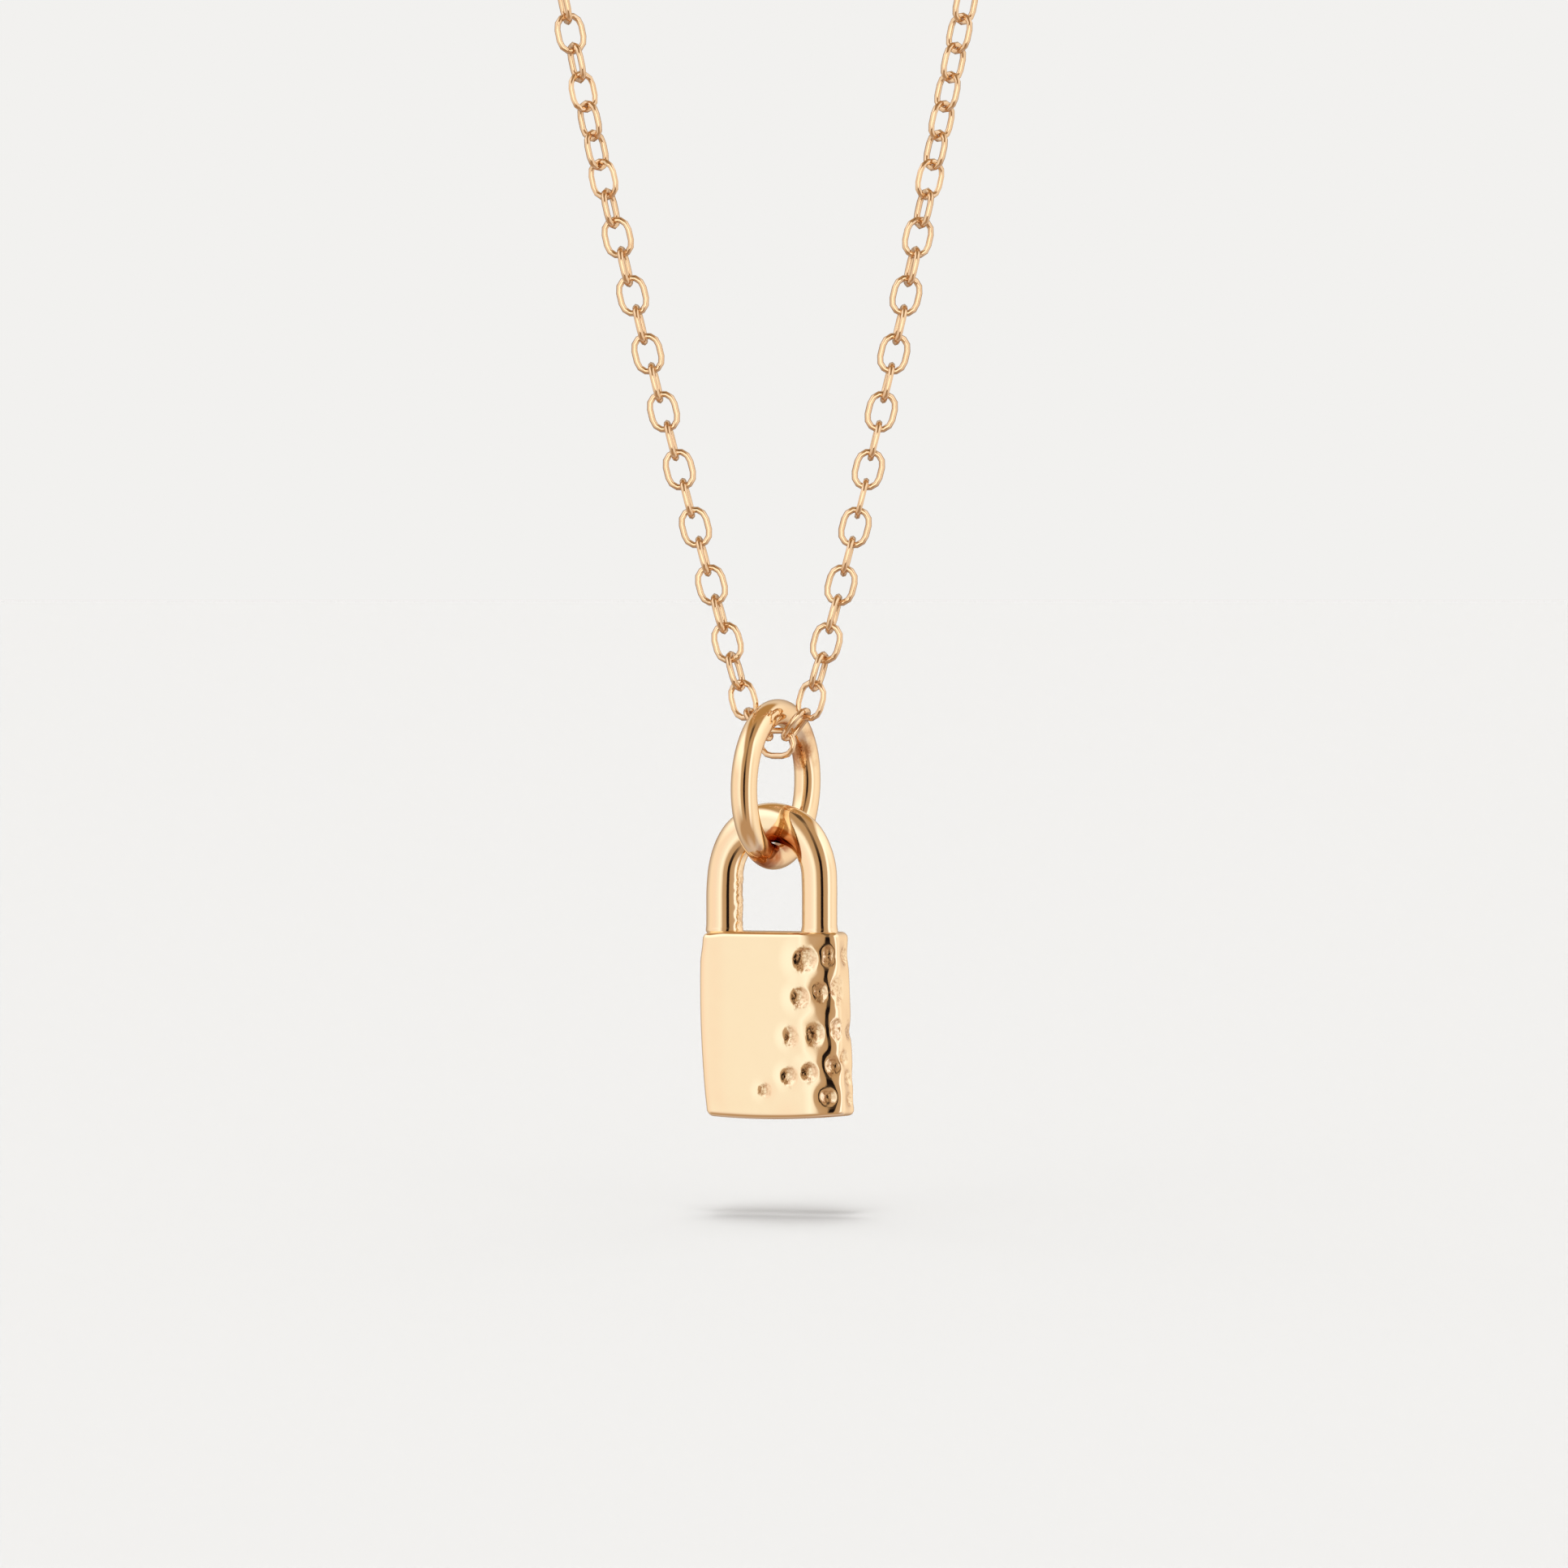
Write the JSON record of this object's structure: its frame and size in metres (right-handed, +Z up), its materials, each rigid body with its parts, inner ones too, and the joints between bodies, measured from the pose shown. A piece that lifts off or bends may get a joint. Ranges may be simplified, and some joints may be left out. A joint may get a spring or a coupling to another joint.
{
  "type": "padlock pendant necklace",
  "caption": "Gold necklace: a flat hammered padlock charm hangs by its shackle from a round jump ring on a loop of oval cable-chain links with a plain barrel clasp.",
  "frame": {"origin": "where the necklace hangs: under the middle of the clasp, inside the top of the chain's loop", "axes": "+Z up, +X to the right seen from the front, -Y towards the viewer; the loop hangs in the XZ plane"},
  "size_m": [0.049, 0.0089, 0.2039],
  "materials": {
    "padlock_gold": "mirror-polished gold plate with rough hammer marks",
    "ring_gold": "polished gold plate",
    "chain_gold": "polished gold plate",
    "clasp_gold": "polished gold plate"
  },
  "bodies": {
    "necklace": {"chain": "chain_gold", "clasp": "clasp_gold"},
    "ring": {"jump_ring": "ring_gold"},
    "pendant": {"padlock": "padlock_gold"}
  },
  "joints": [
    {"name": "ring_swing", "type": "hinge", "parent": "necklace", "child": "ring", "pos_m": [0.0007, 0, -0.17927], "axis": [0.8988, -0.4384, 0], "range_deg": [-45, 45]},
    {"name": "pendant_sway", "type": "hinge", "parent": "ring", "child": "pendant", "pos_m": [0.00052, 0.00009, -0.18649], "axis": [-0.4384, -0.8988, 0], "range_deg": [-60, 60]}
  ]
}
